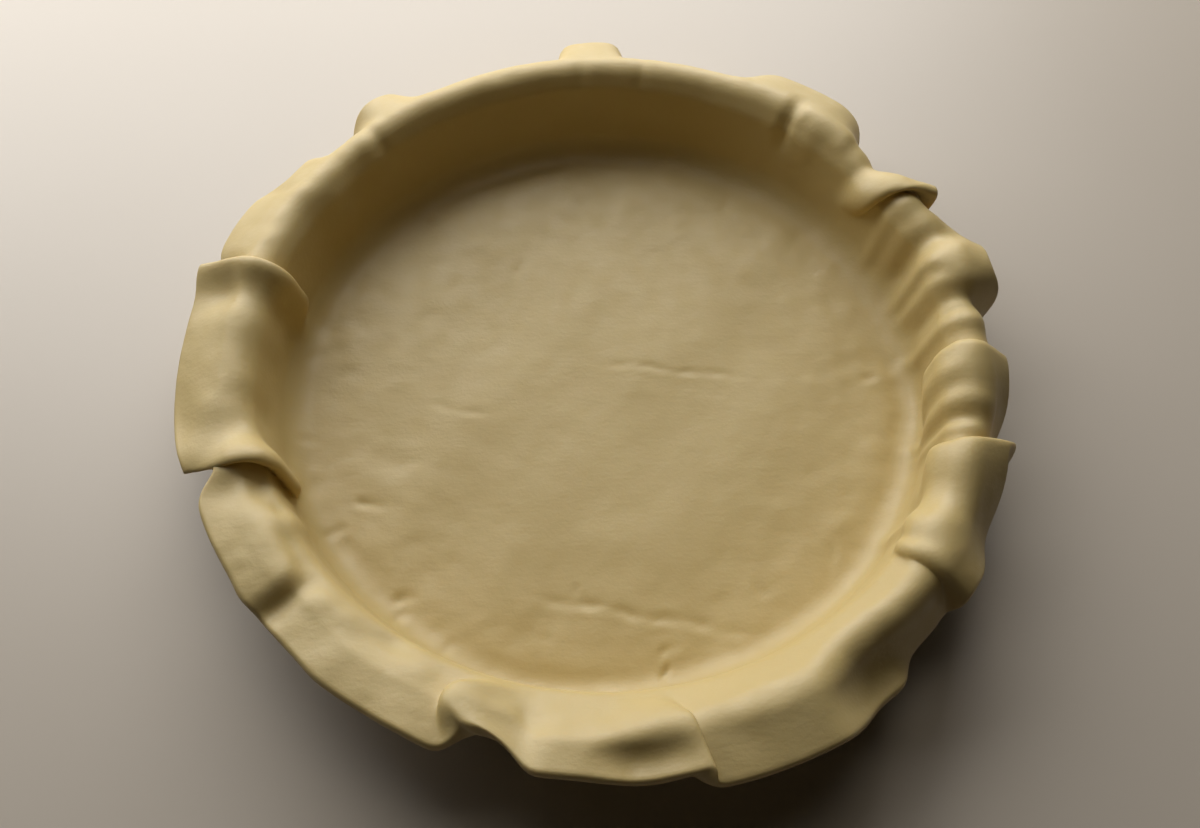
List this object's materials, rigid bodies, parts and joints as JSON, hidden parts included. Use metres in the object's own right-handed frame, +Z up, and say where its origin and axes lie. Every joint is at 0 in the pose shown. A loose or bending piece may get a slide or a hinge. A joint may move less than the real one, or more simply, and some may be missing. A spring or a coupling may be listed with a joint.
{
  "type": "pastry-lined tart tin",
  "caption": "Round shallow tart tin lined with a sheet of raw pastry that turns up the wall, rolls over the rim and hangs outside it in lobes and leaning pleats.",
  "frame": {"origin": "centre of the tin's flat underside", "axes": "+Z up through the open top, -Y the front edge nearest the camera in the picture"},
  "size_m": [0.3093, 0.313, 0.0543],
  "materials": {
    "dough": "matte raw pastry, pale cream yellow",
    "tin": "plain tinned steel"
  },
  "bodies": {
    "root": {"dough": "dough", "tin": "tin"}
  },
  "joints": []
}
